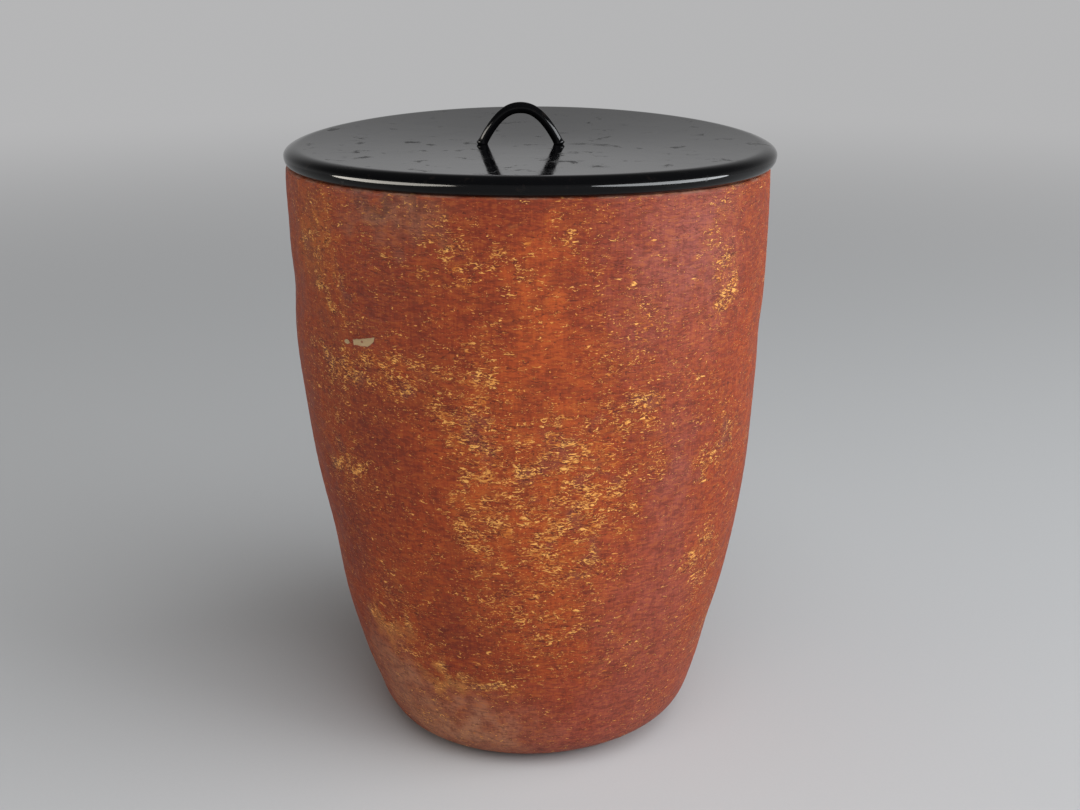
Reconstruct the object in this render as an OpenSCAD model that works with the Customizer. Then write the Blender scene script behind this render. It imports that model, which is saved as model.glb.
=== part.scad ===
// Water jar for the tea room: a thrown jar with a lacquered wooden lid.
// Millimetres, +Z up. The origin is the middle of the base, on the surface that the jar stands on.

/* [Jar] */
// Height from the base to the rim
jar_height = 209; // [150:1:260]
// Outer diameter at the rim
rim_d = 166.5; // [140:0.5:200]
// Diameter at the base, if the wall ran on down to a sharp edge
base_d = 108; // [90:1:130]
// Fullness of the wall: a higher number swells out sooner above the base
fullness = 2.6; // [1.8:0.1:3.2]
// Thickness of the wall
wall = 6; // [5:0.5:9]
// Thickness of the floor
floor_thickness = 9; // [6:0.5:14]
// Radius of the rounded edge around the base
base_round = 22; // [8:0.5:26]
// Radius of the hollow corner between wall and floor, inside
inner_round = 18; // [8:0.5:22]
// Radius of the two edges of the rim
lip_round = 1.5; // [0.5:0.1:2]

/* [Lid] */
// How far the lid reaches past the rim
lid_overhang = 1.75; // [0.5:0.05:6]
// Thickness of the lid at its edge
lid_thickness = 6.2; // [5.8:0.1:10]
// Depth of the shallow dish in the top of the lid
lid_dish = 1.8; // [0.2:0.1:2.4]
// Diameter of the flat ground in the middle of the dish
dish_flat_d = 60; // [50:1:100]
// How far the rounded upper edge of the lid reaches in from its side
lid_edge_width = 5; // [1:0.5:8]
// Height of the rounded upper edge of the lid
lid_edge_height = 2.6; // [1:0.1:3.4]
// How far the lower edge of the lid is tucked in
lid_tuck = 2; // [0.5:0.1:2.5]

/* [Locating ring] */
// Gap between the ring and the inside of the mouth
ring_gap = 1.5; // [0.5:0.1:4]
// Width of the ring, measured along the lid
ring_width = 5; // [3:0.5:10]
// Height of the ring below the lid
ring_height = 5; // [3:0.5:12]
// Radius of the two lower edges of the ring
ring_round = 0.8; // [0.2:0.1:1.2]

/* [Knob] */
// How far the knob stands to the left of the middle of the lid
knob_shift = 3.4; // [0:0.1:6]
// Distance between the middles of the two feet of the bow
knob_span = 27; // [20:0.2:36]
// Height of the middle line of the bow above the lid
knob_rise = 12.6; // [10:0.2:18]
// Fullness of the bow: 2 is a parabola, a higher number is broader at the crown
bow_fullness = 2.2; // [1.8:0.05:3.5]
// Thickness of the bow at its crown, seen from the front
crown_thickness = 3.9; // [2.8:0.1:5]
// Thickness of the bow at its feet, seen from the front
foot_thickness = 3.4; // [2.9:0.1:5.4]
// Depth of the bow from front to back
bow_depth = 4.8; // [3.6:0.1:8]
// Diameter of the peg under each foot
peg_d = 2.4; // [1.6:0.1:2.8]
// Length of each peg below the top of the lid
peg_length = 3; // [1.5:0.1:3.4]
// Room for glue around each peg
peg_clearance = 0.1; // [0.05:0.01:0.3]
// Room for glue below each peg
peg_end_clearance = 0.4; // [0.1:0.1:0.8]

/* [Hidden] */
$fn = 160;

// Straight steps in the curve of the wall, in the dish of the lid and in a rounded edge
wall_steps = 30;
dish_steps = 12;
arc_steps = 12;
// Steps along the bow of the knob, and points around it
bow_steps = 24;
bow_sides = 16;

rim_r = rim_d / 2;
base_r = base_d / 2;
mouth_r = rim_r - wall;

lid_r = rim_r + lid_overhang;
lid_bottom = jar_height;
lid_edge_top = lid_bottom + lid_thickness;
lid_middle_top = lid_edge_top - lid_dish;
dish_flat_r = dish_flat_d / 2;
dish_r = lid_r - lid_edge_width;

ring_r = mouth_r - ring_gap;
ring_inner_r = ring_r - ring_width;
ring_bottom = lid_bottom - ring_height;

foot_x = knob_span / 2;
// How far each peg runs up inside the foot of the bow
peg_root = 0.5;
// How far the bow is drawn past the lid before its feet are cut level
foot_allowance = 3;

// Points on an arc around [x, z], from one angle to another; an upright radius of its own makes an oval
function arc(x, z, r, from, to, upright_r = 0) =
    let (rise = upright_r > 0 ? upright_r : r)
    [for (i = [0:arc_steps]) let (a = from + (to - from) * i / arc_steps) [x + r * cos(a), z + rise * sin(a)]];

// Outer radius of the jar at a height, and the angle by which the wall leans out there
function wall_r(z) = rim_r - (rim_r - base_r) * pow(1 - z / jar_height, fullness);
function wall_lean(z) =
    atan(fullness * (rim_r - base_r) / jar_height * pow(1 - z / jar_height, fullness - 1));

// Height at which a rounded corner on a level floor runs into the leaning wall, found by repeated tries
function corner_top(floor_z, round, tries = 8, z = 0) =
    tries == 0 ? z : corner_top(floor_z, round, tries - 1, floor_z + round * (1 - sin(wall_lean(z))));

// A rounded corner between a level floor and the wall, or a face that lies inside the wall by inset
function corner(floor_z, round, inset = 0) =
    let (
        top = corner_top(floor_z, round),
        lean = wall_lean(top)
    )
    arc(wall_r(top) - inset - round * cos(lean), floor_z + round, round, -90, -lean);

// Half of the jar's cross-section: base, outside, rim, inside, floor
function jar_outline() =
    let (
        base = corner(0, base_round),
        floor_edge = corner(floor_thickness, inner_round, wall),
        lip_z = jar_height - lip_round,
        outer_from = base[arc_steps][1],
        inner_from = floor_edge[arc_steps][1],
        outer_z = [for (i = [1:wall_steps - 1]) outer_from + (lip_z - outer_from) * i / wall_steps],
        inner_z = [for (i = [wall_steps - 1:-1:1]) inner_from + (lip_z - inner_from) * i / wall_steps]
    )
    concat(
        [[0, 0]],
        base,
        [for (z = outer_z) [wall_r(z), z]],
        arc(rim_r - lip_round, lip_z, lip_round, 0, 90),
        arc(mouth_r + lip_round, lip_z, lip_round, 90, 180),
        [for (z = inner_z) [wall_r(z) - wall, z]],
        [for (i = [arc_steps:-1:0]) floor_edge[i]],
        [[0, floor_thickness]]
    );

// Half of the lid's cross-section: underside, tucked side, upper edge, dish
function lid_outline() =
    let (
        side = lid_thickness - lid_edge_height,
        side_z = lid_bottom + side,
        side_r = (side * side + lid_tuck * lid_tuck) / (2 * lid_tuck),
        side_turn = asin(side / side_r),
        dish_run = dish_r - dish_flat_r
    )
    concat(
        [[0, lid_bottom]],
        arc(lid_r - side_r, side_z, side_r, -side_turn, 0),
        [for (i = [1:arc_steps]) arc(dish_r, side_z, lid_edge_width, 0, 90, lid_edge_height)[i]],
        [for (i = [dish_steps - 1:-1:0]) let (t = i / dish_steps)
            [dish_flat_r + dish_run * t, lid_middle_top + lid_dish * t * t]],
        [[0, lid_middle_top]]
    );

// Half of the ring's cross-section
function ring_outline() = concat(
    [[ring_inner_r, lid_bottom]],
    arc(ring_inner_r + ring_round, ring_bottom + ring_round, ring_round, 180, 270),
    arc(ring_r - ring_round, ring_bottom + ring_round, ring_round, 270, 360),
    [[ring_r, lid_bottom]]
);

// Middle line of the bow, from its left foot at -1 to its right foot at 1, and its outward normal
function bow_middle(t) =
    [foot_x * t - knob_shift, 0, lid_middle_top + knob_rise * (1 - pow(abs(t), bow_fullness))];
function bow_normal(t) =
    let (n = [sign(t) * knob_rise * bow_fullness * pow(abs(t), bow_fullness - 1), 0, foot_x])
    n / norm(n);
function bow_along(t) = let (n = bow_normal(t)) [n[2], 0, -n[0]];

// One oval ring of points around the middle line; past says how far it lies beyond a foot
function bow_ring(t, past = 0) =
    let (
        middle = bow_middle(t) + past * sign(t) * bow_along(t),
        across = bow_normal(t) * (crown_thickness + (foot_thickness - crown_thickness) * abs(t)) / 2
    )
    [for (j = [0:bow_sides - 1]) let (a = 360 * j / bow_sides)
        middle + across * cos(a) + [0, bow_depth / 2 * sin(a), 0]];

// A closed skin of triangles over rings that have the same number of points
module skin(rings) {
    count = len(rings);
    sides = len(rings[0]);
    last = (count - 1) * sides;
    polyhedron(
        points = [for (ring = rings) each ring],
        faces = concat(
            [for (j = [1:sides - 2]) [0, j + 1, j]],
            [for (j = [1:sides - 2]) [last, last + j, last + j + 1]],
            [for (i = [0:count - 2], j = [0:sides - 1])
                let (a = i * sides, k = (j + 1) % sides)
                    each [[a + j, a + sides + k, a + sides + j], [a + j, a + k, a + sides + k]]]
        )
    );
}

module bow() {
    skin(concat(
        [bow_ring(-1, foot_allowance)],
        [for (i = [0:bow_steps]) bow_ring(2 * i / bow_steps - 1)],
        [bow_ring(1, foot_allowance)]
    ));
}

module peg(clearance = 0, end_clearance = 0) {
    length = peg_length + end_clearance;
    translate([0, 0, lid_middle_top - length])
        cylinder(d = peg_d + 2 * clearance, h = length + peg_root);
}

module each_foot() {
    for (side = [-1, 1])
        translate([side * foot_x - knob_shift, 0, 0])
            children();
}

module jar_body() {
    color("sienna")
        rotate_extrude()
            polygon(jar_outline());
}

module lid_board() {
    color("black")
        difference() {
            rotate_extrude()
                polygon(lid_outline());
            each_foot()
                peg(peg_clearance, peg_end_clearance);
        }
}

module lid_locating_ring() {
    color("black")
        rotate_extrude()
            polygon(ring_outline());
}

module lid_knob() {
    color("black") {
        difference() {
            bow();
            translate([-knob_shift - knob_span, -bow_depth, lid_middle_top - 2 * foot_allowance])
                cube([2 * knob_span, 2 * bow_depth, 2 * foot_allowance]);
        }
        each_foot()
            peg();
    }
}

jar_body();
lid_board();
lid_locating_ring();
lid_knob();
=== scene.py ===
"""Looks of a tea-room water jar: mottled clay and a black lacquered lid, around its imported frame."""

import math

import bpy
import numpy as np
from bpy.props import FloatProperty, FloatVectorProperty, IntProperty, PointerProperty
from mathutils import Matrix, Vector, noise


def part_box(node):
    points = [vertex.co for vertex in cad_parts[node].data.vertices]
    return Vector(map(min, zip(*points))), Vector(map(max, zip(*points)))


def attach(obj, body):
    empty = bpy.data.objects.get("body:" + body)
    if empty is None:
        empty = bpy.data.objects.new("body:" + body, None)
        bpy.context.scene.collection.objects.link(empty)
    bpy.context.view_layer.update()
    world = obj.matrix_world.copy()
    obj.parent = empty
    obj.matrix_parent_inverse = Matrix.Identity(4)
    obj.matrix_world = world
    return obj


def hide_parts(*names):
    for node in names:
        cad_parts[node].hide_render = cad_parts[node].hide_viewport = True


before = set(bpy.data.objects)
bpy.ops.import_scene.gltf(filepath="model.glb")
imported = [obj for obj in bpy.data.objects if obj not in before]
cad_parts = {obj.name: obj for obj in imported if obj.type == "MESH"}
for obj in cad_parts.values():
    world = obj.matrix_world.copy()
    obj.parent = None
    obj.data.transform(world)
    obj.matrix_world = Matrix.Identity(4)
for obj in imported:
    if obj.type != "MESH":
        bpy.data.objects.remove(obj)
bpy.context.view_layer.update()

bl_info = {
    "name": "Water Jar",
    "version": (1, 0, 0),
    "blender": (4, 5, 0),
    "location": "View3D > Sidebar > Water Jar",
    "description": "Clay water jar with a lacquered lid, on a plain studio floor",
    "category": "Add Mesh",
}

MM = 0.001

JAR_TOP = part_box("jar_body")[1]
LID_LOW, LID_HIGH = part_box("lid_board")
RING_LOW, RING_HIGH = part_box("lid_locating_ring")
KNOB_LOW, KNOB_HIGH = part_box("lid_knob")


def number(name, description, default, **kind):
    """A number that a user may change."""
    return FloatProperty(name=name, description=description, default=default, **kind)


def length(name, description, default):
    """A size in metres that a user may change."""
    return number(name, description, default, unit="LENGTH", precision=5)


def lamp_power(name, description, watts):
    """The power of a lamp that a user may change."""
    return number(name, description, watts, unit="POWER")


def colour(name, description, default):
    """A colour that a user may change."""
    return FloatVectorProperty(
        name=name, description=description, default=default, size=3, min=0, max=1, subtype="COLOR"
    )


class JarSettings(bpy.types.PropertyGroup):
    """Sizes and colours of the clay jar."""

    height: length("Height", "From the base to the rim", JAR_TOP.z)
    rim_radius: length("Rim radius", "Outer radius at the rim", JAR_TOP.x)
    base_radius: length("Base radius", "Radius at the base, if the wall ran on to a sharp edge", 54 * MM)
    fullness: number("Fullness", "How soon the wall swells above the base", 2.6)
    wall: length("Wall", "Thickness of the wall", 6 * MM)
    floor: length("Floor", "Thickness of the floor", 9 * MM)
    base_round: length("Base round", "Radius of the rounded edge around the base", 22 * MM)
    inner_round: length("Inner round", "Radius of the hollow corner inside", 18 * MM)
    lip_round: length("Lip round", "Radius of the two edges of the rim", 1.5 * MM)
    sway: length("Sway", "How far the upper half stands to the left of the lower half", 1.7 * MM)
    foot_shift: length("Foot shift", "How far the foot stands to the left of the wall above it", 2.4 * MM)
    lumps: length("Lumps", "Height of the soft lumps that firing left in the wall", 0.2 * MM)
    throwing: length("Throwing marks", "Height of the rings that the potter's fingers left", 0.02 * MM)
    saddle: length("Saddle", "How much lower the rim and lid are at the sides than in front", 2.1 * MM)
    segments: IntProperty(name="Segments", description="Steps around the jar", default=384)
    red: colour("Red", "Red clay", (0.37, 0.060, 0.020))
    # maroon is dark clay, and also painted shade at the top, all round the base and at the lower right
    maroon_and_shade: colour("Maroon", "Red clay in the dark parts", (0.225, 0.038, 0.020))
    # orange is bright clay, and also painted front light in the broad column down the middle
    orange_and_front_light: colour("Orange", "Red clay in the bright parts", (0.48, 0.088, 0.024))
    ochre: colour("Ochre", "Flecks of ash", (0.93, 0.45, 0.115))
    film: colour("Film", "Thin film of ash around the flecks", (0.60, 0.18, 0.036))
    # painted shade of the fine relief, in the troughs of the grain and of the ripples
    trough_shade: colour("Pits", "Dark pits between the flecks", (0.095, 0.024, 0.017))
    plum: colour("Plum", "Dull spots in the thickest ash", (0.17, 0.060, 0.050))
    pale: colour("Pale", "Patch near the base that the flame missed", (0.46, 0.215, 0.12))
    # rose is dull pink clay, and also painted sheen at the right, where the right lamps glance off the wall
    rose_and_sheen: colour("Rose", "Dull pink clay at the right", (0.32, 0.086, 0.066))
    haze: colour("Haze", "Grey haze under the rim", (0.29, 0.115, 0.068))
    smoke: colour("Smoke", "Smoke marks at the rim", (0.085, 0.040, 0.030))
    chip: colour("Chip", "Bare clay in the chip", (0.50, 0.34, 0.18))
    # lip is clay worn bare, and also a painted highlight along the top of the rim
    lip: colour("Lip", "Clay worn bare along the lip", (0.52, 0.30, 0.21))
    inside: colour("Inside", "Clay inside the jar", (0.225, 0.062, 0.034))


class LidSettings(bpy.types.PropertyGroup):
    """Sizes and colours of the lacquered lid, its ring and its knob."""

    radius: length("Radius", "Radius of the lid", LID_HIGH.x)
    bottom: length("Bottom", "Height of the underside", LID_LOW.z)
    top: length("Top", "Height of the edge", LID_HIGH.z)
    dish: length("Dish", "Depth of the shallow dish in the top", 1.8 * MM)
    dish_bend: length("Dish bend", "Radius at which the level middle of the dish begins to rise", 35 * MM)
    edge_width: length("Edge width", "How far the rounded upper edge reaches in from the side", 5 * MM)
    edge_height: length("Edge height", "Height of the rounded upper edge", 2.6 * MM)
    tuck: length("Tuck", "How far the lower edge is tucked in", 2 * MM)
    soft_edge: length("Soft edge", "Radius that the lacquer leaves on the sharpest edges", 0.4 * MM)
    ring_radius: length("Ring radius", "Outer radius of the locating ring", RING_HIGH.x)
    ring_width: length("Ring width", "Width of the locating ring", 5 * MM)
    ring_bottom: length("Ring bottom", "Height of the lower side of the ring", RING_LOW.z)
    ring_round: length("Ring round", "Radius of the lower edges of the ring", 0.8 * MM)
    knob_place: length("Knob place", "Middle of the knob, to the right of the lid's middle",
                       (KNOB_LOW.x + KNOB_HIGH.x) / 2)
    knob_span: length("Knob span", "Distance between the middles of the feet", 27 * MM)
    knob_rise: length("Knob rise", "Height of the middle line of the bow above the lid", 12.6 * MM)
    bow_fullness: number("Bow fullness", "Higher is broader at the crown", 2.2)
    crown: length("Crown", "Thickness of the bow at its crown", 3.9 * MM)
    foot: length("Foot", "Thickness of the bow above its feet", 3.4 * MM)
    bow_depth: length("Bow depth", "Depth of the bow from front to back", KNOB_HIGH.y - KNOB_LOW.y)
    peg_radius: length("Peg radius", "Radius of the peg under each foot", 1.2 * MM)
    peg_bottom: length("Peg bottom", "Height of the lower end of each peg", KNOB_LOW.z)
    segments: IntProperty(name="Segments", description="Steps around the lid", default=256)
    lacquer: colour("Lacquer", "Black lacquer", (0.003, 0.003, 0.0034))
    worn: colour("Worn", "Lacquer worn thin", (0.012, 0.009, 0.008))


class StageSettings(bpy.types.PropertyGroup):
    """Floor, light and camera."""

    floor_colour: colour("Floor", "Pale floor", (0.55, 0.55, 0.55))
    backdrop_colour: colour("Backdrop", "Lit backdrop all round", (0.465, 0.465, 0.47))
    ceiling_colour: colour("Ceiling", "Dark room overhead", (0.05, 0.05, 0.05))
    cool: colour("Cool", "Tint of the lamps in front and at the right", (0.94, 0.97, 1.0))
    warm: colour("Warm", "Tint of the lamps at the left", (1.0, 0.95, 0.86))
    front_power: lamp_power("Front", "Wide lamp at the front", 51)
    right_power: lamp_power("Right", "Wide lamp at the right", 6.5)
    left_power: lamp_power("Left", "Wide lamp at the left", 1.9)
    right_strip_power: lamp_power("Right strip", "Highlights at the right of the jar and knob", 23)
    left_strip_power: lamp_power("Left strip", "Highlights at the left of the jar and knob", 13)
    low_power: lamp_power("Low strips", "Low lamps that show in the side of the lid", 7.5)
    floor_radius: length("Floor radius", "Radius of the floor", 5.0)
    fade_start: length("Fade start", "Distance at which the floor begins to fade into the backdrop", 0.35)
    fade_end: length("Fade end", "Distance at which the floor has faded into the backdrop", 1.75)
    camera_place: FloatVectorProperty(
        name="Camera", description="Place of the camera", default=(0.00332, -0.5565, 0.29734),
        size=3, subtype="TRANSLATION", unit="LENGTH", precision=5,
    )
    camera_pitch: number("Pitch", "How far the camera looks down", math.radians(17.837), subtype="ANGLE")
    sensor: number("Sensor", "Width of the camera's sensor", 36, unit="CAMERA")
    lens: number("Lens", "Focal length of the camera", 53.333, unit="CAMERA")


class WaterJarSettings(bpy.types.PropertyGroup):
    """All settings of the water jar."""

    jar: PointerProperty(type=JarSettings, name="Jar", description="The clay jar")
    lid: PointerProperty(type=LidSettings, name="Lid", description="The lid, ring and knob")
    stage: PointerProperty(type=StageSettings, name="Stage", description="Floor, light and camera")


# Outlines and meshes

def arc(centre_r, centre_z, radius, start, end, steps):
    """Points on an arc of a cross-section, between two angles in degrees."""
    turns = np.radians(np.linspace(start, end, steps + 1))
    return [(centre_r + radius * math.cos(a), centre_z + radius * math.sin(a)) for a in turns]


def between(start, end, steps):
    """Evenly spaced values between two ends, without the ends."""
    return np.linspace(start, end, steps + 1)[1:-1]


def smooth_step(value, low, high):
    """0 below low, 1 above high and a smooth rise between."""
    t = np.clip((value - low) / (high - low), 0, 1)
    return t * t * (3 - 2 * t)


def new_mesh(name, points, faces):
    """A smooth-shaded mesh object in the scene."""
    mesh = bpy.data.meshes.new(name)
    mesh.from_pydata([tuple(p) for p in points], [], faces)
    mesh.polygons.foreach_set("use_smooth", [True] * len(mesh.polygons))
    mesh.validate()
    mesh.update()
    made = bpy.data.objects.new(name, mesh)
    bpy.context.scene.collection.objects.link(made)
    return made


def turned(outline, segments, closed=False):
    """Points and faces of a cross-section turned round the Z axis; a point on the axis stays single."""
    turns = np.linspace(0, 2 * math.pi, segments, endpoint=False)
    points = []
    rings = []
    for r, z in outline:
        first = len(points)
        if r == 0:
            points.append((0, 0, z))
            rings.append([first] * segments)
        else:
            points.extend((r * math.cos(a), r * math.sin(a), z) for a in turns)
            rings.append(list(range(first, first + segments)))
    if closed:
        rings.append(rings[0])
    faces = []
    for low, high in zip(rings, rings[1:]):
        for j in range(segments):
            k = (j + 1) % segments
            corners = (low[j], low[k], high[k], high[j])
            faces.append(tuple(dict.fromkeys(corners)))
    return np.array(points), faces


def saddle_drop(points, settings):
    """How far the rim and the lid lie lower at the sides, and higher in front and behind."""
    x, y = points[:, 0], points[:, 1]
    return settings.jar.saddle / 2 * (x ** 2 - y ** 2) / settings.lid.radius ** 2


# Soft hollows and swellings in the wall: angle from the front, height, depth, half angle, half height
HOLLOWS = (
    (-80, 168, 0.8, 28, 10),
    (-80, 147, -0.3, 30, 12),
    (-76, 78, 0.7, 30, 15),
    (-78, 48, -0.4, 28, 14),
    (-82, 16, 0.8, 36, 8),
    (-82, 203, -0.4, 30, 9),
    (82, 190, -0.7, 30, 34),
    (82, 152, 0.4, 26, 8),
    (76, 40, 0.7, 26, 12),
    (150, 120, 0.8, 30, 25),
    (-140, 60, -0.6, 30, 20),
)
# Where the rim sags away from the lid: angle from the front, depth, half angle
RIM_SAG = (60, 0.8, 32)
# Heights over which the foot's shift fades out, the hollows set in, and the upper half leans to the left
SHIFT_END = 9 * MM
HOLLOWS_FULL = 12 * MM
SWAY_START, SWAY_END = 75 * MM, 150 * MM
# Heights at which the saddle and the sag set in, and how far below the rim they are full
SADDLE_START, SAG_START, FULL_BELOW_RIM = 110 * MM, 170 * MM, 3 * MM
# Radius inside which the floor follows the hollows of the wall less and less
STIFF_RADIUS = 20 * MM
# Lumps for each metre, height of one throwing mark, and how far a mark wanders up and down
LUMP_SCALE, THROWING_PITCH, THROWING_WANDER = 26, 5.2 * MM, 0.8
# The chip in the wall: degrees from the front, and millimetres
CHIP = {"angle": -40, "height": 160, "length": 10, "width": 2.8, "depth": 0.35, "tilt": 15}
# Half sizes of the dent under the chip, as a share of its length and width
DENT_SHARE = 0.6
# Straight sides of the chip: direction that each faces, and its distance from the chip's middle
CHIP_SIDES = ((104, 0.95), (-85, 1.5), (-54, 2.4), (-12, 4.7), (196, 4.8))
# A smaller chip to the left, and a pit in the chip: place along and up, half length, half height
SMALL_CHIP = (-7.6, -1.4, 1.3, 0.8)
CHIP_PIT = (-0.6, -0.2, 0.55, 0.4)
# How much of the chip's bare clay the pit hides
PIT_SHARE = 0.7


def hand_shaped(points, settings):
    """The jar's turned points, moved to where the potter's hands and the fire left them."""
    jar = settings.jar
    x, y, z = points.T
    around = np.degrees(np.arctan2(x, -y))
    out = np.hypot(x, y)
    push = np.zeros(len(points))
    for place, height, depth, half_angle, half_height in HOLLOWS:
        turn = (around - place + 180) % 360 - 180
        push -= depth * MM * np.exp(-(turn / half_angle) ** 2 - ((z / MM - height) / half_height) ** 2)
    lumps = [noise.fractal(Vector(p) * LUMP_SCALE, 1.0, 2.0, 2) for p in points]
    push += jar.lumps * np.array(lumps)
    wander = THROWING_WANDER * np.sin(np.radians(around))
    push += jar.throwing * np.sin(z / THROWING_PITCH * 2 * math.pi + wander)
    push *= smooth_step(z, 0, HOLLOWS_FULL)
    along = np.radians(around - CHIP["angle"]) * out / MM
    up = z / MM - CHIP["height"]
    tilt = math.radians(CHIP["tilt"])
    reach = (along * math.cos(tilt) + up * math.sin(tilt)) / (DENT_SHARE * CHIP["length"])
    spread = (up * math.cos(tilt) - along * math.sin(tilt)) / (DENT_SHARE * CHIP["width"])
    push -= CHIP["depth"] * MM * np.exp(-reach ** 4 - spread ** 2)
    grow = 1 + push / np.maximum(out, STIFF_RADIUS)
    moved = np.stack([x * grow, y * grow, z], 1)
    lean = 0.5 - smooth_step(z, SWAY_START, SWAY_END)
    moved[:, 0] += jar.sway * lean - jar.foot_shift * (1 - smooth_step(z, 0, SHIFT_END))
    place, depth, half_angle = RIM_SAG
    sag = depth * MM * np.exp(-((around - place) / half_angle) ** 2)
    full = jar.height - FULL_BELOW_RIM
    moved[:, 2] -= saddle_drop(points, settings) * smooth_step(z, SADDLE_START, full)
    moved[:, 2] -= sag * smooth_step(z, SAG_START, full)
    return moved


# Nodes

class Paint:
    """Short calls that build the nodes of one material or of the world."""

    def __init__(self, owner):
        owner.use_nodes = True
        self.owner = owner
        self.tree = owner.node_tree
        self.tree.nodes.clear()
        self.place = self.add("ShaderNodeTexCoord")
        self.point = self.place.outputs["Object"]
        self.normal = self.place.outputs["Normal"]

    def add(self, kind, inputs=None, **settings):
        node = self.tree.nodes.new(kind)
        for name, value in settings.items():
            setattr(node, name, value)
        for socket, value in (inputs or {}).items():
            self.feed(node.inputs[socket], value)
        return node

    def feed(self, socket, value):
        if isinstance(value, bpy.types.NodeSocket):
            self.tree.links.new(value, socket)
        elif socket.type == "RGBA" and len(value) == 3:
            socket.default_value = (*value, 1)
        else:
            socket.default_value = value

    def math(self, operation, first, second=0.0, clamp=False):
        node = self.add("ShaderNodeMath", {0: first, 1: second}, operation=operation, use_clamp=clamp)
        return node.outputs[0]

    def vector(self, operation, first, second=(0, 0, 0)):
        node = self.add("ShaderNodeVectorMath", {0: first, 1: second}, operation=operation)
        return node.outputs["Value" if operation in ("LENGTH", "DOT_PRODUCT") else "Vector"]

    def xyz(self, vector):
        return self.add("ShaderNodeSeparateXYZ", {0: vector}).outputs

    def rise(self, value, low, high, start=0.0, end=1.0):
        """start below low, end above high and a smooth change between."""
        node = self.add(
            "ShaderNodeMapRange",
            {"Value": value, "From Min": low, "From Max": high, "To Min": start, "To Max": end},
            interpolation_type="SMOOTHSTEP",
        )
        return node.outputs["Result"]

    def noise(self, scale, detail=2.0, stretch=(1, 1, 1), shift=0.0, roughness=0.5, distortion=0.0):
        """Cloudy values around a half; scale is in spots for each metre."""
        vector = self.point
        if stretch != (1, 1, 1):
            vector = self.vector("MULTIPLY", vector, stretch)
        if shift:
            vector = self.vector("ADD", vector, (shift, shift, shift))
        inputs = {"Vector": vector, "Scale": scale, "Detail": detail, "Roughness": roughness,
                  "Distortion": distortion}
        return self.add("ShaderNodeTexNoise", inputs).outputs["Fac"]

    def mix(self, share, first, second):
        """A colour between two; the colour sockets of the node have the numbers 6, 7 and 2."""
        node = self.add("ShaderNodeMix", {0: share, 6: first, 7: second}, data_type="RGBA")
        return node.outputs[2]

    def finish(self, **sockets):
        """Principled surface with these sockets, as the material's output."""
        inputs = {}
        for name, value in sockets.items():
            inputs[name.replace("_", " ").title().replace("Ior", "IOR")] = value
        shader = self.add("ShaderNodeBsdfPrincipled", inputs)
        self.add("ShaderNodeOutputMaterial", {"Surface": shader.outputs["BSDF"]})
        return self.owner

    def bump(self, height, distance, strength):
        inputs = {"Height": height, "Distance": distance, "Strength": strength}
        return self.add("ShaderNodeBump", inputs).outputs["Normal"]


# Clusters of ash flecks: angle from the front, height, half angle, half height, strength
FLECK_CLUSTERS = (
    (12, 111, 20, 32, 0.95),
    (9, 106, 10, 17, 0.5),
    (24, 141, 9, 10, 0.7),
    (-12, 114, 7, 54, 0.75),
    (-12, 106, 5, 14, 0.4),
    (-9, 100, 22, 56, 0.35),
    (-31, 152, 27, 12, 0.7),
    (-51, 148, 11, 16, 0.7),
    (-9, 162, 7, 18, 0.55),
    (-19, 196, 7, 8, 0.8),
    (-14, 188, 7, 7, 0.75),
    (-6, 188, 6, 7, 0.7),
    (7, 200, 6, 7, 0.8),
    (-54, 193, 10, 20, 0.8),
    (-34, 189, 4, 6, 0.7),
    (-50, 179, 6, 7, 0.95),
    (-45, 172, 6, 7, 0.95),
    (48, 193, 5, 14, 0.85),
    (51, 176, 5, 16, 0.85),
    (44, 184, 6, 9, 0.4),
    (25, 160, 32, 36, 0.28),
    (54, 126, 9, 14, 0.9),
    (48, 114, 9, 9, 0.8),
    (52, 78, 12, 18, 0.9),
    (-50, 114, 10, 15, 0.85),
    (-38, 76, 16, 18, 0.4),
    (-46, 55, 10, 7, 0.9),
    (-22, 36, 18, 7, 0.9),
    (-38, 46, 11, 7, 0.8),
    (-9, 40, 8, 8, 0.6),
    (-4, 66, 14, 22, 0.4),
    (13, 68, 12, 14, 0.35),
    (27, 48, 18, 13, 0.35),
    (84, 172, 14, 22, 0.5),
    (78, 46, 20, 12, 0.6),
    (108, 146, 24, 28, 0.6),
    (118, 64, 16, 20, 0.5),
    (136, 192, 20, 10, 0.6),
    (144, 84, 22, 32, 0.8),
    (152, 150, 16, 20, 0.6),
    (-146, 46, 20, 16, 0.6),
    (-146, 126, 20, 32, 0.8),
    (-132, 184, 18, 16, 0.6),
    (-106, 72, 22, 26, 0.6),
    (-92, 156, 18, 18, 0.6),
)
# How far a cluster thins out past its half sizes, and how fast
CLUSTER_REACH = 1.5
CLUSTER_FALL = 1.5
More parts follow.
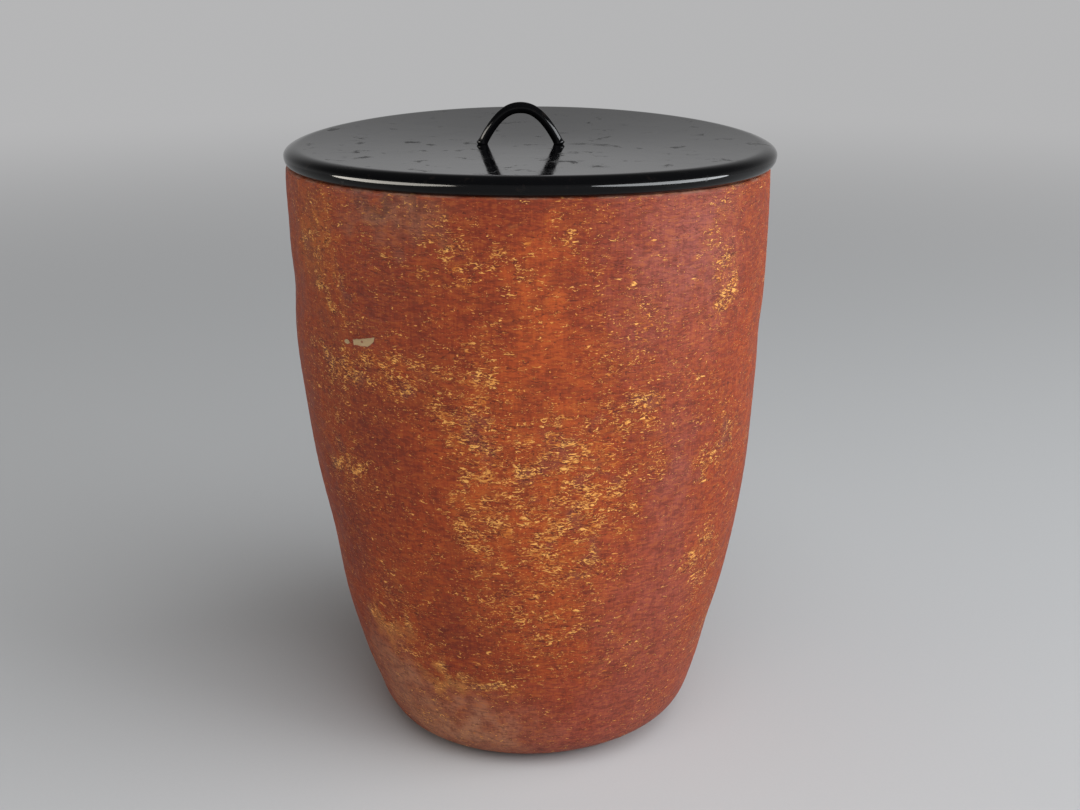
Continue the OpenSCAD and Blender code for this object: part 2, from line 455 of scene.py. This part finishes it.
# Stains in the clay, some of them painted shade, painted sheen and painted front light: colour, strength,
# angle from the front, height, half angle, half height
STAINS = (
    # partly the clay's own orange, partly painted light where the front lamp falls fullest
    ("orange_and_front_light", 0.6, -2, 116, 25, 110),
    # painted shade: the top of the wall darker, under the lid
    ("maroon_and_shade", 0.5, 6, 212, 74, 48),
    # painted shade: darker all round the base
    ("maroon_and_shade", 0.5, 0, 0, 200, 26),
    # painted shade: darker at the lower right of the base
    ("maroon_and_shade", 0.5, 36, 30, 46, 46),
    ("maroon_and_shade", 0.7, -33, 177, 16, 24),
    ("maroon_and_shade", 0.7, -37, 125, 16, 30),
    ("maroon_and_shade", 0.6, -55, 87, 14, 24),
    ("maroon_and_shade", 0.8, -22, 58, 15, 17),
    ("maroon_and_shade", 0.5, 18, 186, 12, 28),
    ("orange_and_front_light", 0.9, 3, 178, 7, 46),
    ("orange_and_front_light", 0.8, -12, 118, 7, 52),
    ("orange_and_front_light", 0.6, 6, 74, 9, 28),
    # painted sheen: pink haze down the right of the wall, in these three stains
    ("rose_and_sheen", 0.9, 38, 188, 30, 50),
    ("rose_and_sheen", 0.7, 37, 112, 12, 50),
    ("rose_and_sheen", 0.6, 34, 60, 30, 60),
    ("maroon_and_shade", 0.7, 120, 156, 46, 50),
    ("orange_and_front_light", 0.7, 128, 84, 40, 80),
    ("rose_and_sheen", 0.8, -120, 140, 40, 80),
    ("rose_and_sheen", 0.6, 20, 6, 150, 44),
    ("pale", 0.7, -50, 30, 26, 30),
    ("pale", 0.85, -26, 14, 40, 28),
    ("ochre", 0.3, -46, 53, 12, 9),
    ("ochre", 0.42, -25, 37, 16, 7),
    ("film", 0.4, -58, 190, 15, 34),
    ("haze", 0.85, -30, 203, 20, 14),
    ("smoke", 0.6, -33, 208, 14, 4),
    ("smoke", 0.5, 2, 208, 5, 3),
)


class ClayPaint(Paint):
    """Nodes that also know the angle from the front and the height on the jar."""

    def __init__(self, owner):
        super().__init__(owner)
        x, y, z = self.xyz(self.point)
        turn = self.math("ARCTAN2", x, self.math("MULTIPLY", y, -1))
        self.turn = turn
        self.height = z
        wall_map = self.add("ShaderNodeCombineXYZ", {"X": turn, "Y": z}).outputs[0]
        waver = self.add("ShaderNodeTexNoise", {"Vector": self.point, "Scale": 110.0, "Detail": 4.0})
        shift = self.vector("SUBTRACT", waver.outputs["Color"], (0.5, 0.5, 0.5))
        shift = self.vector("MULTIPLY", shift, (0.5, 38 * MM, 0))
        self.wavering_map = self.vector("ADD", wall_map, shift)
        level = self.vector("MULTIPLY", self.point, (1, 1, 0))
        self.outward = self.vector("DOT_PRODUCT", self.vector("NORMALIZE", level), self.normal)
        self.upward = self.xyz(self.normal)[2]

    def patch(self, place, height, half_angle, half_height, soft):
        """1 in the middle of a patch on the wall, falling to 0 at its edge; degrees and millimetres."""
        centre = (math.radians(place), height * MM, 0)
        reach = (math.radians(half_angle), half_height * MM, 1)
        away = self.vector("SUBTRACT", self.wavering_map, centre)
        away = self.vector("DIVIDE", away, reach)
        return self.rise(self.vector("LENGTH", away), 1 - soft, 1.0, 1.0, 0.0)

    def chip(self):
        """The chip in the wall, with the crisp edges of a break, and the small one to its left."""
        along = self.math("SUBTRACT", self.turn, math.radians(CHIP["angle"]))
        along = self.math("MULTIPLY", along, JAR_TOP.x / MM)
        up = self.math("SUBTRACT", self.math("DIVIDE", self.height, MM), CHIP["height"])
        place = self.add("ShaderNodeCombineXYZ", {"X": along, "Y": up}).outputs[0]
        ragged = self.math("SUBTRACT", self.noise(900, 3, roughness=0.6), 0.5)
        ragged = self.math("MULTIPLY", ragged, 0.8)
        inside = CHIP["length"]
        for side, distance in CHIP_SIDES:
            turn = math.radians(side)
            toward = self.vector("DOT_PRODUCT", place, (math.cos(turn), math.sin(turn), 0))
            inside = self.math("MINIMUM", inside, self.math("SUBTRACT", distance, toward))
        chip = self.rise(self.math("ADD", inside, ragged), -0.1, 0.15)
        both = self.math("MAXIMUM", chip, self.oval(place, ragged, *SMALL_CHIP))
        pit = self.math("MULTIPLY", self.oval(place, ragged, *CHIP_PIT), PIT_SHARE)
        return self.math("SUBTRACT", both, pit, clamp=True)

    def oval(self, place, ragged, along, up, half_length, half_height):
        """1 inside a small ragged oval."""
        away = self.vector("SUBTRACT", place, (along, up, 0))
        away = self.vector("DIVIDE", away, (half_length, half_height, 1))
        distance = self.math("ADD", self.vector("LENGTH", away), ragged)
        return self.rise(distance, 0.85, 1.1, 1.0, 0.0)

    def crowd(self):
        """How thickly the ash lies: some all over, much in the clusters, none inside."""
        density = self.rise(self.noise(40, 3, shift=0.7), 0.36, 0.70, 0.04, 0.40)
        for place, height, half_angle, half_height, strength in FLECK_CLUSTERS:
            reach = (CLUSTER_REACH * half_angle, CLUSTER_REACH * half_height)
            cluster = self.patch(place, height, *reach, soft=1.0)
            cluster = self.math("MULTIPLY", self.math("POWER", cluster, CLUSTER_FALL), strength)
            density = self.math("ADD", density, cluster, clamp=True)
        return self.math("MULTIPLY", density, self.rise(self.outward, 0.05, 0.35))

    def ripples(self, scale, shift):
        """A fine wavy grain that lies level, like wrinkles."""
        return self.noise(scale, 2, stretch=(1, 1, 2.7), shift=shift, roughness=0.6, distortion=1.4)

    def above(self, field, sparse, dense, density):
        """1 where a field is over a limit, which falls from sparse to dense as the ash thickens."""
        limit = self.math("SUBTRACT", sparse, self.math("MULTIPLY", density, sparse - dense))
        return self.rise(field, limit, self.math("ADD", limit, 0.035))


def clay_ground(clay, jar):
    """Cloudy reds with stains, some of them painted shade and painted sheen, and a fine grain like cloth
    with painted shade in its troughs; also gives the mottle and the grain.
    """
    clouds = clay.noise(22, 3, stretch=(1, 1, 0.6))
    ground = clay.mix(clay.rise(clouds, 0.62, 0.36, 0.0, 0.5), jar.red, jar.maroon_and_shade)
    for name, strength, *spot in STAINS:
        stain = clay.math("MULTIPLY", clay.patch(*spot, soft=0.95), strength)
        ground = clay.mix(stain, ground, getattr(jar, name))
    mottle = clay.noise(140, 3, roughness=0.6)
    ground = clay.mix(clay.rise(mottle, 0.60, 0.38, 0.0, 0.45), ground, jar.maroon_and_shade)
    upright = clay.noise(1300, 1, stretch=(1, 1, 0.12))
    level = clay.noise(950, 2, stretch=(0.32, 0.32, 1), shift=0.3, distortion=0.8)
    grain = clay.math("ADD", clay.math("MULTIPLY", upright, 0.3), clay.math("MULTIPLY", level, 0.7))
    # painted shade in the troughs of the grain; a paler film on its crests, partly painted highlight
    ground = clay.mix(clay.rise(grain, 0.53, 0.38, 0.0, 0.42), ground, jar.trough_shade)
    ground = clay.mix(clay.rise(grain, 0.51, 0.63, 0.0, 0.22), ground, jar.film)
    return ground, mottle, grain


def clay_ash(clay, jar, ground):
    """Ash on the ground: a thin film, then bright crests of ash, partly painted highlight, and painted shade
    in the dark troughs of fine ripples, in clumps.
    """
    density = clay.crowd()
    film = clay.rise(clay.noise(190, 3, stretch=(1, 1, 1.6), shift=0.2), 0.40, 0.66)
    film = clay.math("MULTIPLY", film, clay.math("MULTIPLY", density, 0.2))
    ground = clay.mix(film, ground, jar.film)
    dull = clay.rise(clay.noise(95, 2, shift=0.15), 0.52, 0.66)
    dull = clay.math("MULTIPLY", dull, clay.rise(density, 0.6, 1.0, 0.0, 0.45))
    ground = clay.mix(dull, ground, jar.plum)
    clumps = clay.rise(clay.noise(140, 3, stretch=(1, 1, 1.4), shift=0.5), 0.36, 0.60, 0.45, 1.0)
    density = clay.math("MULTIPLY", density, clumps)
    fine = clay.ripples(400, 0.1)
    # painted shade: dark strokes in the ripples' troughs, beside the bright crests
    troughs = clay.above(clay.math("SUBTRACT", 1.0, fine), 0.66, 0.55, density)
    ground = clay.mix(clay.math("MULTIPLY", troughs, 0.7), ground, jar.trough_shade)
    # bright crests: ash flecks, partly painted highlight where the ripples catch the light
    flecks = clay.above(fine, 0.68, 0.545, density)
    for scale, shift, sparse, dense in ((260, 0.9, 0.74, 0.62), (680, 0.77, 0.69, 0.575)):
        more = clay.above(clay.ripples(scale, shift), sparse, dense, density)
        flecks = clay.math("MAXIMUM", flecks, more)
    brightness = clay.rise(clay.noise(330, 2, shift=0.4), 0.32, 0.62)
    ground = clay.mix(flecks, ground, clay.mix(brightness, jar.film, jar.ochre))
    return ground, flecks, fine


def clay_marks(clay, jar, ground):
    """The chips, the bare inside and the lip, partly worn bare and partly a painted highlight along its top;
    also gives the chips.
    """
    chip = clay.chip()
    ground = clay.mix(chip, ground, jar.chip)
    clouds = clay.rise(clay.noise(55, 5, shift=0.6), 0.25, 0.75, 0.0, 0.7)
    inner = clay.mix(clouds, jar.inside, jar.maroon_and_shade)
    ground = clay.mix(clay.rise(clay.outward, 0.05, -0.25), ground, inner)
    # partly worn bare clay, partly a painted highlight on the rim's upward-facing edge
    lip = clay.math("MULTIPLY", clay.rise(clay.upward, 0.45, 0.75), clay.rise(clay.height, 0.19, 0.2))
    lip = clay.math("MULTIPLY", lip, clay.rise(clay.noise(150, 4, shift=0.35), 0.36, 0.66, 0.05, 0.5))
    return clay.mix(lip, ground, jar.lip), chip


def clay_material(jar):
    """Wood-fired red clay: cloudy reds, ochre flecks of ash, a pale patch, smoke marks and one chip."""
    clay = ClayPaint(bpy.data.materials.new("mottled_clay"))
    ground, mottle, grain = clay_ground(clay, jar)
    ground, flecks, fine = clay_ash(clay, jar, ground)
    ground, chip = clay_marks(clay, jar, ground)
    rough = clay.rise(mottle, 0.3, 0.7, 0.46, 0.60)
    rough = clay.math("SUBTRACT", rough, clay.math("MULTIPLY", flecks, 0.08))
    relief = clay.math("MULTIPLY", chip, -0.5)
    for layer, share in ((mottle, 0.8), (grain, 0.4), (fine, 0.9), (flecks, 0.35)):
        relief = clay.math("ADD", relief, clay.math("MULTIPLY", layer, share))
    return clay.finish(
        base_color=ground, roughness=rough, specular_ior_level=0.1,
        normal=clay.bump(relief, 0.3 * MM, 0.9),
    )


# Dull smears beside the feet of the knob: place to the right, half length, half depth
SMEARS = ((-18, 6, 2.5), (18, 9, 3.5))


def lacquer_material(lid):
    """Black lacquer: a deep gloss with faint ripples, small dull spots and two smears by the knob."""
    paint = Paint(bpy.data.materials.new("gloss_lacquer"))
    spots = paint.noise(125, 3, roughness=0.6, distortion=0.4)
    dull = paint.rise(spots, 0.57, 0.72)
    for place, half_length, half_depth in SMEARS:
        away = paint.vector("SUBTRACT", paint.point, (place * MM, 0, lid.top))
        away = paint.vector("DIVIDE", away, (half_length * MM, half_depth * MM, 1))
        near = paint.rise(paint.vector("LENGTH", away), 0.1, 1.0, 1.0, 0.0)
        smear = paint.math("MULTIPLY", near, paint.rise(spots, 0.36, 0.56))
        dull = paint.math("MAXIMUM", dull, paint.math("MULTIPLY", smear, 0.8))
    worn = paint.rise(paint.noise(300, 3, shift=0.6), 0.60, 0.75, 0.0, 0.6)
    base = paint.mix(worn, lid.lacquer, lid.worn)
    cloudy = paint.rise(paint.noise(45, 3, shift=0.3), 0.35, 0.7, 0.04, 0.11)
    rough = paint.math("ADD", cloudy, paint.math("MULTIPLY", dull, 0.25))
    ripple = paint.math("MULTIPLY", paint.noise(70, 2, shift=0.8), 0.4)
    relief = paint.math("SUBTRACT", ripple, paint.math("MULTIPLY", dull, 0.15))
    return paint.finish(
        base_color=base, roughness=rough, specular_ior_level=0.15,
        normal=paint.bump(relief, 0.12 * MM, 0.5),
    )


def shared_material(name, make, settings):
    """The material of that name, made at its first use."""
    return bpy.data.materials.get(name) or make(settings)


def dress(piece, node, body, material):
    """Puts the material on a piece that stands for a CAD node and moves with its body."""
    piece.data.materials.append(material)
    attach(piece, body)
    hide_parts(node)


def lacquered(name, node, points, faces, settings):
    """Makes a lacquered piece of the lid, bent to the same saddle as the rim."""
    points[:, 2] -= saddle_drop(points, settings)
    lacquer = shared_material("gloss_lacquer", lacquer_material, settings.lid)
    dress(new_mesh(name, points, faces), node, "lid", lacquer)


# Pieces

def wall_radius(jar, z):
    """Outer radius of the jar at a height."""
    return jar.rim_radius - (jar.rim_radius - jar.base_radius) * (1 - z / jar.height) ** jar.fullness


def wall_lean(jar, z):
    """Angle by which the wall leans out at a height."""
    slope = jar.fullness * (jar.rim_radius - jar.base_radius) / jar.height
    return math.atan(slope * (1 - z / jar.height) ** (jar.fullness - 1))


def wall_corner(jar, floor, radius, inset=0.0):
    """A rounded corner between a level floor and the leaning wall, or a face inside it."""
    top = 0.0
    for _ in range(8):
        top = floor + radius * (1 - math.sin(wall_lean(jar, top)))
    lean = wall_lean(jar, top)
    centre = wall_radius(jar, top) - inset - radius * math.cos(lean)
    return arc(centre, floor + radius, radius, -90, -math.degrees(lean), 24)


def jar_outline(jar):
    """Half of the jar's cross-section: base, outside, rim, inside, floor."""
    base = wall_corner(jar, 0, jar.base_round)
    hollow = wall_corner(jar, jar.floor, jar.inner_round, jar.wall)
    lip = jar.height - jar.lip_round
    mouth = jar.rim_radius - jar.wall
    return [
        (0, 0),
        *((r, 0) for r in between(0, base[0][0], 8)),
        *base,
        *((wall_radius(jar, z), z) for z in between(base[-1][1], lip, 170)),
        *arc(jar.rim_radius - jar.lip_round, lip, jar.lip_round, 0, 90, 8),
        *((r, jar.height) for r in between(jar.rim_radius - jar.lip_round, mouth + jar.lip_round, 3)),
        *arc(mouth + jar.lip_round, lip, jar.lip_round, 90, 180, 8),
        *((wall_radius(jar, z) - jar.wall, z) for z in between(lip, hollow[-1][1], 60)),
        *reversed(hollow),
        *((r, jar.floor) for r in between(hollow[0][0], 0, 8)),
        (0, jar.floor),
    ]


def dish_rise(lid, r):
    """Height of the lid's top over its middle: almost level at first, then a steady rise to the edge."""
    rim = lid.radius - lid.edge_width
    return lid.dish * (math.hypot(1, r / lid.dish_bend) - 1) / (math.hypot(1, rim / lid.dish_bend) - 1)


# Where the soft lower edge of the lid bends most, in from the side and up, as shares of its radius
SOFT_BEND = (0.3, 0.1)


def lid_outline(lid):
    """Half of the lid's cross-section: underside, tucked side, rounded upper edge, dish."""
    side = lid.top - lid.bottom - lid.edge_height
    side_radius = (side ** 2 + lid.tuck ** 2) / (2 * lid.tuck)
    side_z = lid.bottom + side
    turn = math.degrees(math.asin(side / side_radius))
    dish_radius = lid.radius - lid.edge_width
    dish_top = lid.top - lid.dish
    tucked = arc(lid.radius - side_radius, side_z, side_radius, -turn, 0, 16)
    corner = tucked[0][0]
    flat = corner - lid.soft_edge
    bend_in, bend_up = (share * lid.soft_edge for share in SOFT_BEND)
    quarter = arc(0, 0, 1, 0, 90, 20)[1:]
    return [
        (0, lid.bottom),
        *((r, lid.bottom) for r in between(0, flat, 40)),
        (flat, lid.bottom),
        (corner - bend_in, lid.bottom + bend_up),
        *tucked[2:],
        *((dish_radius + lid.edge_width * r, side_z + lid.edge_height * z) for r, z in quarter),
        *((r, dish_top + dish_rise(lid, r)) for r in between(dish_radius, 0, 72)),
        (0, dish_top),
    ]


def ring_outline(lid):
    """Cross-section of the locating ring."""
    inner = lid.ring_radius - lid.ring_width
    r = lid.ring_round
    low = lid.ring_bottom + r
    return [
        *((inner, z) for z in np.linspace(lid.bottom, low, 4)[:-1]),
        *arc(inner + r, low, r, 180, 270, 6),
        *arc(lid.ring_radius - r, low, r, 270, 360, 6),
        *((lid.ring_radius, z) for z in np.linspace(low, lid.bottom, 4)[1:]),
        *((r, lid.bottom) for r in between(lid.ring_radius, inner, 3)),
    ]


# The knob's small fillets: where they begin between crown and foot, and how much they widen the foot
FILLET_START, FILLET_SHARE = 0.92, 0.2
# How much shallower the bow is at its feet than at its crown, from front to back
FOOT_TAPER = 0.2


def bow_rings(lid, steps=72, sides=28):
    """Rings of points along the knob: a peg, a foot with its small fillet, the bow, a foot and a peg."""
    foot_x = lid.knob_span / 2
    ground = lid.top - lid.dish
    turns = np.linspace(0, 2 * math.pi, sides, endpoint=False)
    rings = []
    for t in np.linspace(-1, 1, steps + 1):
        near_foot = abs(t)
        middle = Vector((foot_x * t, 0, ground + lid.knob_rise * (1 - near_foot ** lid.bow_fullness)))
        steep = math.copysign(lid.knob_rise * lid.bow_fullness * near_foot ** (lid.bow_fullness - 1), t)
        across = Vector((steep, 0, foot_x)).normalized()
        flare = 1 + FILLET_SHARE * max(0, (near_foot - FILLET_START) / (1 - FILLET_START)) ** 2
        half = (lid.crown + (lid.foot - lid.crown) * near_foot) / 2 * flare
        depth = lid.bow_depth / 2 * (1 - FOOT_TAPER * near_foot) * flare
        ring = []
        for a in turns:
            ring.append(middle + across * half * math.cos(a) + Vector((0, depth * math.sin(a), 0)))
        rings.append(ring)
    for ring in rings:
        for point in ring:
            point.z = max(point.z, ground)
    for side in (-1, 1):
        for z in (ground, lid.peg_bottom):
            peg = []
            for a in turns:
                x = side * (foot_x + lid.peg_radius * math.cos(a))
                peg.append(Vector((x, lid.peg_radius * math.sin(a), z)))
            rings.insert(0 if side < 0 else len(rings), peg)
    return [[point + Vector((lid.knob_place, 0, 0)) for point in ring] for ring in rings]


def skin(rings):
    """Points and faces of a closed skin over rings with the same number of points."""
    sides = len(rings[0])
    points = [p for ring in rings for p in ring]
    faces = [tuple(range(sides)), tuple(reversed(range(len(points) - sides, len(points))))]
    for i in range(len(rings) - 1):
        for j in range(sides):
            k = (j + 1) % sides
            a, b = i * sides, (i + 1) * sides
            faces.append((a + j, b + j, b + k, a + k))
    return np.array(points), faces


# Operators

class WATERJAR_OT_stage(bpy.types.Operator):
    """Make the floor, the lamps and the camera"""

    bl_idname = "waterjar.stage"
    bl_label = "Stage"

    def execute(self, context):
        stage = context.scene.water_jar.stage
        self.floor(stage)
        self.sky(context.scene, stage)
        self.lamp("front_lamp", (33, 48), 2.0, (2.4, 2.4), stage.front_power, stage.cool)
        self.lamp("right_lamp", (74, 20), 1.2, (1.0, 0.5), stage.right_power, stage.cool)
        self.lamp("left_lamp", (-70, 20), 1.2, (1.0, 0.5), stage.left_power, stage.warm)
        upright = ("clay_jar", "lacquered_knob")
        self.strip("right_strip", (75, 22), 1.2, (1.2, 0.4), stage.right_strip_power, stage.cool, upright)
        self.strip("left_strip", (-76, 22), 1.2, (0.9, 0.28), stage.left_strip_power, stage.warm, upright)
        board = ("lacquered_lid",)
        low = stage.low_power
        self.strip("right_low_strip", (60, -1), 0.5, (0.7, 0.2), low, stage.cool, board, "ELLIPSE")
        self.strip("left_low_strip", (-62, -1), 0.5, (0.62, 0.2), low, stage.warm, board, "ELLIPSE")
        self.camera(context.scene, stage)
        context.scene.view_settings.view_transform = "Standard"
        return {"FINISHED"}

    def floor(self, stage):
        """A level floor that fades into the backdrop far away; its light and shadows stay."""
        outline = [(0, 0), *((r, 0) for r in np.geomspace(0.05, stage.floor_radius, 24))]
        points, faces = turned(outline, 96)
        floor = new_mesh("floor", points, [tuple(reversed(f)) for f in faces])
        paper = Paint(bpy.data.materials.new("studio_paper"))
        fibre = paper.rise(paper.noise(900, 2), 0.3, 0.7, 0.0, 0.06)
        darker = tuple(0.8 * c for c in stage.floor_colour)
        tone = paper.mix(fibre, stage.floor_colour, darker)
        matt = {"Base Color": tone, "Roughness": 0.7, "Specular IOR Level": 0.0}
        surface = paper.add("ShaderNodeBsdfPrincipled", matt)
        far = paper.rise(paper.vector("LENGTH", paper.point), stage.fade_start, stage.fade_end)
        ray = paper.add("ShaderNodeLightPath").outputs
        seen = paper.math("MAXIMUM", ray["Is Camera Ray"], ray["Is Glossy Ray"])
        backdrop = paper.add("ShaderNodeEmission", {"Color": stage.backdrop_colour, "Strength": 1.0})
        share = paper.math("MULTIPLY", far, seen)
        blended = paper.add("ShaderNodeMixShader", {0: share, 1: surface.outputs[0], 2: backdrop.outputs[0]})
        paper.add("ShaderNodeOutputMaterial", {"Surface": blended.outputs[0]})
        floor.data.materials.append(paper.owner)

    def sky(self, scene, stage):
        """A lit backdrop all round under a dark ceiling; what the camera sees of it stays pale."""
        sky = Paint(bpy.data.worlds.new("soft_light"))
        up = sky.xyz(sky.place.outputs["Generated"])[2]
        unseen = sky.math("SUBTRACT", 1.0, sky.add("ShaderNodeLightPath").outputs["Is Camera Ray"])
        dark = sky.math("MULTIPLY", sky.rise(up, 0.0, 0.6), unseen)
        tone = sky.mix(dark, stage.backdrop_colour, stage.ceiling_colour)
        light = sky.add("ShaderNodeBackground", {"Color": tone})
        sky.add("ShaderNodeOutputWorld", {"Surface": light.outputs[0]})
        scene.world = sky.owner

    def lamp(self, name, direction, distance, size, power, tint):
        """A soft lamp that faces the jar, by degrees from the front to the right, and up; gloss hides it."""
        light = bpy.data.lights.new(name, "AREA")
        light.shape = "RECTANGLE"
        light.size, light.size_y = size
        light.energy = power
        light.color = tint
        lamp = bpy.data.objects.new(name, light)
        turn, rise = (math.radians(a) for a in direction)
        away = Vector((math.sin(turn) * math.cos(rise), -math.cos(turn) * math.cos(rise), math.sin(rise)))
        lamp.location = Vector((0, 0, JAR_TOP.z / 2)) + away * distance
        lamp.rotation_euler = away.to_track_quat("Z", "Y").to_euler()
        lamp.visible_camera = False
        lamp.visible_glossy = False
        bpy.context.scene.collection.objects.link(lamp)
        return lamp

    def strip(self, name, direction, distance, size, power, tint, pieces, shape="RECTANGLE"):
        """A lamp that shows as a highlight in the gloss of these pieces alone."""
        strip = self.lamp(name, direction, distance, size, power, tint)
        strip.visible_glossy = True
        strip.visible_diffuse = False
        strip.data.shape = shape
        lit = bpy.data.collections.new(name)
        for piece in pieces:
            if piece in bpy.data.objects:
                lit.objects.link(bpy.data.objects[piece])
        strip.light_linking.receiver_collection = lit

    def camera(self, scene, stage):
        """The camera at the photograph's place."""
        data = bpy.data.cameras.new("camera")
        data.sensor_fit = "HORIZONTAL"
        data.sensor_width = stage.sensor
        data.lens = stage.lens
        camera = bpy.data.objects.new("camera", data)
        camera.location = stage.camera_place
        camera.rotation_euler = (math.pi / 2 - stage.camera_pitch, 0, 0)
        scene.collection.objects.link(camera)
        scene.camera = camera


class WATERJAR_OT_jar_body(bpy.types.Operator):
    """Make the clay jar"""

    bl_idname = "waterjar.jar_body"
    bl_label = "Jar Body"

    def execute(self, context):
        settings = context.scene.water_jar
        points, faces = turned(jar_outline(settings.jar), settings.jar.segments)
        jar = new_mesh("clay_jar", hand_shaped(points, settings), faces)
        clay = shared_material("mottled_clay", clay_material, settings.jar)
        dress(jar, "jar_body", "jar", clay)
        return {"FINISHED"}


class WATERJAR_OT_lid_board(bpy.types.Operator):
    """Make the round board of the lid"""

    bl_idname = "waterjar.lid_board"
    bl_label = "Lid Board"

    def execute(self, context):
        settings = context.scene.water_jar
        points, faces = turned(lid_outline(settings.lid), settings.lid.segments)
        lacquered("lacquered_lid", "lid_board", points, faces, settings)
        return {"FINISHED"}


class WATERJAR_OT_locating_ring(bpy.types.Operator):
    """Make the ring under the lid that drops into the mouth"""

    bl_idname = "waterjar.locating_ring"
    bl_label = "Locating Ring"

    def execute(self, context):
        settings = context.scene.water_jar
        points, faces = turned(ring_outline(settings.lid), settings.lid.segments, closed=True)
        lacquered("lacquered_ring", "lid_locating_ring", points, faces, settings)
        return {"FINISHED"}


class WATERJAR_OT_knob(bpy.types.Operator):
    """Make the arched knob"""

    bl_idname = "waterjar.knob"
    bl_label = "Knob"

    def execute(self, context):
        settings = context.scene.water_jar
        points, faces = skin(bow_rings(settings.lid))
        lacquered("lacquered_knob", "lid_knob", points, faces, settings)
        return {"FINISHED"}


OPERATORS = (
    WATERJAR_OT_stage,
    WATERJAR_OT_jar_body,
    WATERJAR_OT_lid_board,
    WATERJAR_OT_locating_ring,
    WATERJAR_OT_knob,
)


class WATERJAR_PT_panel(bpy.types.Panel):
    """Buttons and settings of the water jar"""

    bl_idname = "WATERJAR_PT_panel"
    bl_label = "Water Jar"
    bl_space_type = "VIEW_3D"
    bl_region_type = "UI"
    bl_category = "Water Jar"

    def draw(self, context):
        for operator in OPERATORS:
            self.layout.operator(operator.bl_idname)
        settings = context.scene.water_jar
        for group in (settings.jar, settings.lid, settings.stage):
            box = self.layout.box()
            for name in group.__annotations__:
                box.prop(group, name)


CLASSES = (JarSettings, LidSettings, StageSettings, WaterJarSettings, *OPERATORS, WATERJAR_PT_panel)


def register():
    for cls in CLASSES:
        bpy.utils.register_class(cls)
    bpy.types.Scene.water_jar = PointerProperty(type=WaterJarSettings)


def unregister():
    del bpy.types.Scene.water_jar
    for cls in reversed(CLASSES):
        bpy.utils.unregister_class(cls)


def main():
    """Makes the pieces, then the stage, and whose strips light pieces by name."""
    register()
    bpy.ops.waterjar.jar_body()
    bpy.ops.waterjar.lid_board()
    bpy.ops.waterjar.locating_ring()
    bpy.ops.waterjar.knob()
    bpy.ops.waterjar.stage()


if __name__ == "__main__":
    main()
